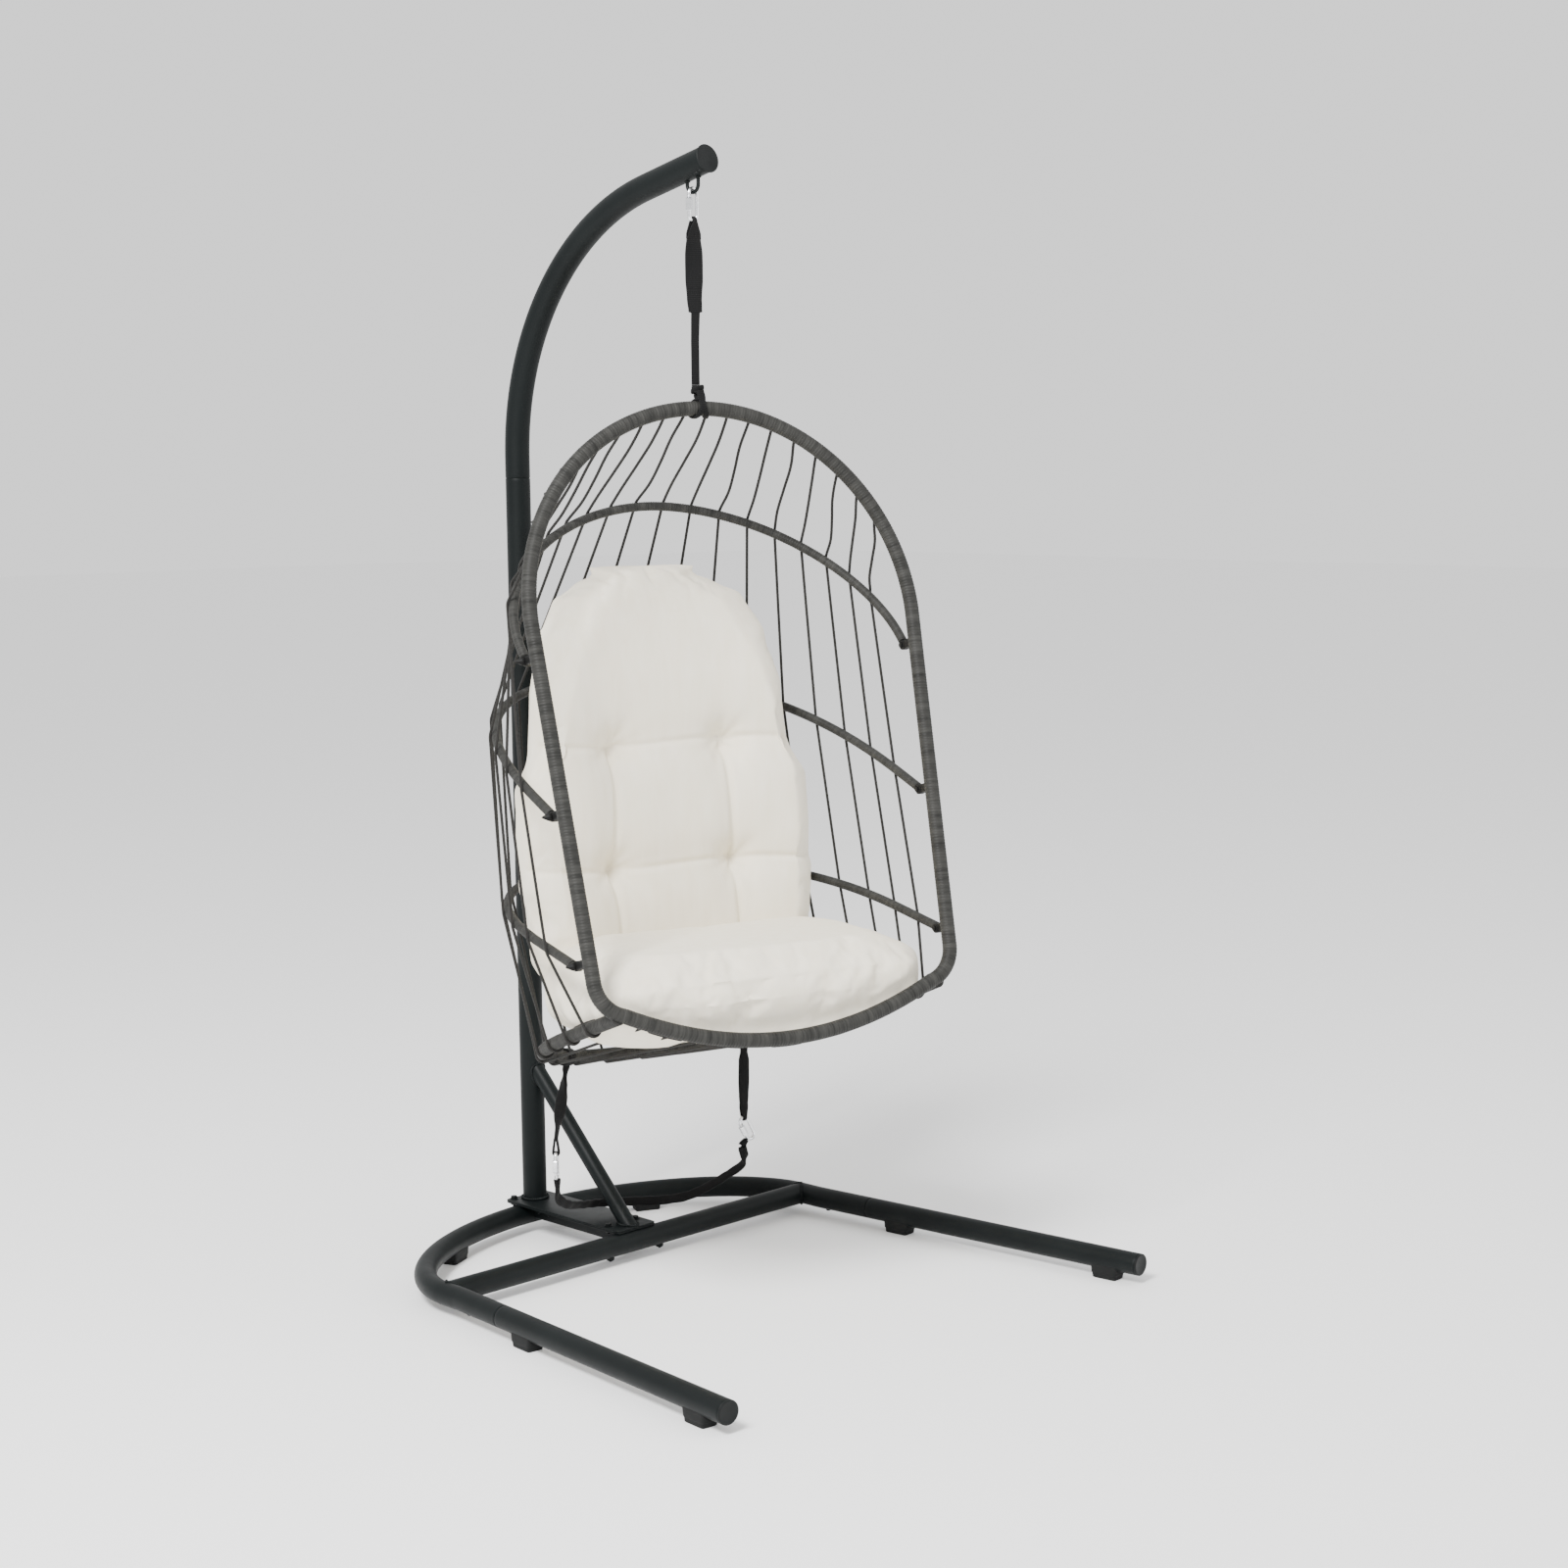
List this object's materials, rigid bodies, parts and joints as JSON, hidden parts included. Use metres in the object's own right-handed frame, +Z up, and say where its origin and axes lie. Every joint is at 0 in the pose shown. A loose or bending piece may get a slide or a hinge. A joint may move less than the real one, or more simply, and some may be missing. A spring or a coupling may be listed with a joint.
{
  "type": "hanging egg chair",
  "caption": "Egg-shaped roped basket seat with seat and back cushions, hung by a strap from a curved steel arm on a floor-standing base.",
  "frame": {"origin": "on the ground, under the middle of the stand's bounding box", "axes": "+Z up, -Y to the front (the stand's open legs), +X to the stand's own left-right; the basket is swivelled 16.5 degrees about its hang line"},
  "size_m": [1.0488, 1.1027, 1.9807],
  "materials": {
    "stand_paint": "satin near-black powder coat",
    "cap_plastic": "matt black moulded plastic",
    "foot_rubber": "matt black",
    "zinc": "bright zinc plate",
    "webbing": "black woven polyester webbing",
    "wicker": "dark grey flat wicker strip wound round steel tube",
    "rope": "dark grey twisted cord",
    "fitting": "matt black",
    "cushion_fabric": "ivory woven polyester"
  },
  "bodies": {
    "stand": {"rear_arc": "stand_paint", "leg_left": "stand_paint", "leg_right": "stand_paint", "leg_cap_left": "cap_plastic", "leg_cap_right": "cap_plastic", "leg_screw_left": "stand_paint", "leg_screw_right": "stand_paint", "crossbar": "stand_paint", "centre_beam": "stand_paint", "base_bracket": "stand_paint", "base_plate": "stand_paint", "post": "stand_paint", "arm": "stand_paint", "arm_cap": "cap_plastic", "brace": "stand_paint", "eyelet": "stand_paint", "foot_front_left": "foot_rubber", "foot_front_right": "foot_rubber", "foot_middle_left": "foot_rubber", "foot_middle_right": "foot_rubber", "foot_rear_left": "foot_rubber", "foot_rear_right": "foot_rubber", "plate_bolt_front_left": "stand_paint", "plate_bolt_front_right": "stand_paint", "plate_bolt_rear_left": "stand_paint", "plate_bolt_rear_right": "stand_paint"},
    "top_link_body": {"top_link": "zinc", "top_link_sleeve": "zinc"},
    "strap_body": {"hang_strap": "webbing"},
    "basket": {"rim_hitch": "webbing", "rim": "wicker", "hoop_1": "wicker", "hoop_2": "wicker", "hoop_3": "wicker", "seat_frame": "wicker", "hoop_1_clamp_left": "fitting", "hoop_1_clamp_right": "fitting", "hoop_2_clamp_left": "fitting", "hoop_2_clamp_right": "fitting", "hoop_3_clamp_left": "fitting", "hoop_3_clamp_right": "fitting", "rope_side_front_left": "rope", "rope_side_front_right": "rope", "rope_side_rear_left": "rope", "rope_side_rear_right": "rope", "rope_back_outer_left": "rope", "rope_back_outer_right": "rope", "rope_back_inner_left": "rope", "rope_back_inner_right": "rope", "rope_back_middle": "rope", "back_cushion": "cushion_fabric", "seat_cushion": "cushion_fabric"},
    "tether": {"lower_strap_left": "webbing", "lower_strap_right": "webbing", "lower_link_left": "zinc", "lower_link_right": "zinc", "lower_link_left_sleeve": "zinc", "lower_link_right_sleeve": "zinc", "safety_strap": "webbing"}
  },
  "joints": [
    {"name": "side_swing", "type": "hinge", "parent": "stand", "child": "top_link_body", "pos_m": [0, 0.0365, 1.9035], "axis": [0, 1, 0], "range_deg": [-1.5, 1.5], "deforming": ["safety_strap"]},
    {"name": "fore_aft_swing", "type": "hinge", "parent": "top_link_body", "child": "strap_body", "pos_m": [0, 0.0365, 1.8567], "axis": [1, 0, 0], "range_deg": [-2.5, 2.5], "deforming": ["safety_strap"]},
    {"name": "swivel", "type": "hinge", "parent": "strap_body", "child": "basket", "pos_m": [0, 0.0365, 1.583], "axis": [0, 0, 1], "range_deg": [-6, 6], "deforming": ["safety_strap"]},
    {"name": "tether_swing", "type": "hinge", "parent": "basket", "child": "tether", "pos_m": [0.04289, 0.18128, 0.40294], "axis": [0.9588, -0.284, 0], "range_deg": [-8, 8], "deforming": ["safety_strap", "lower_strap_left", "lower_strap_right"]}
  ]
}
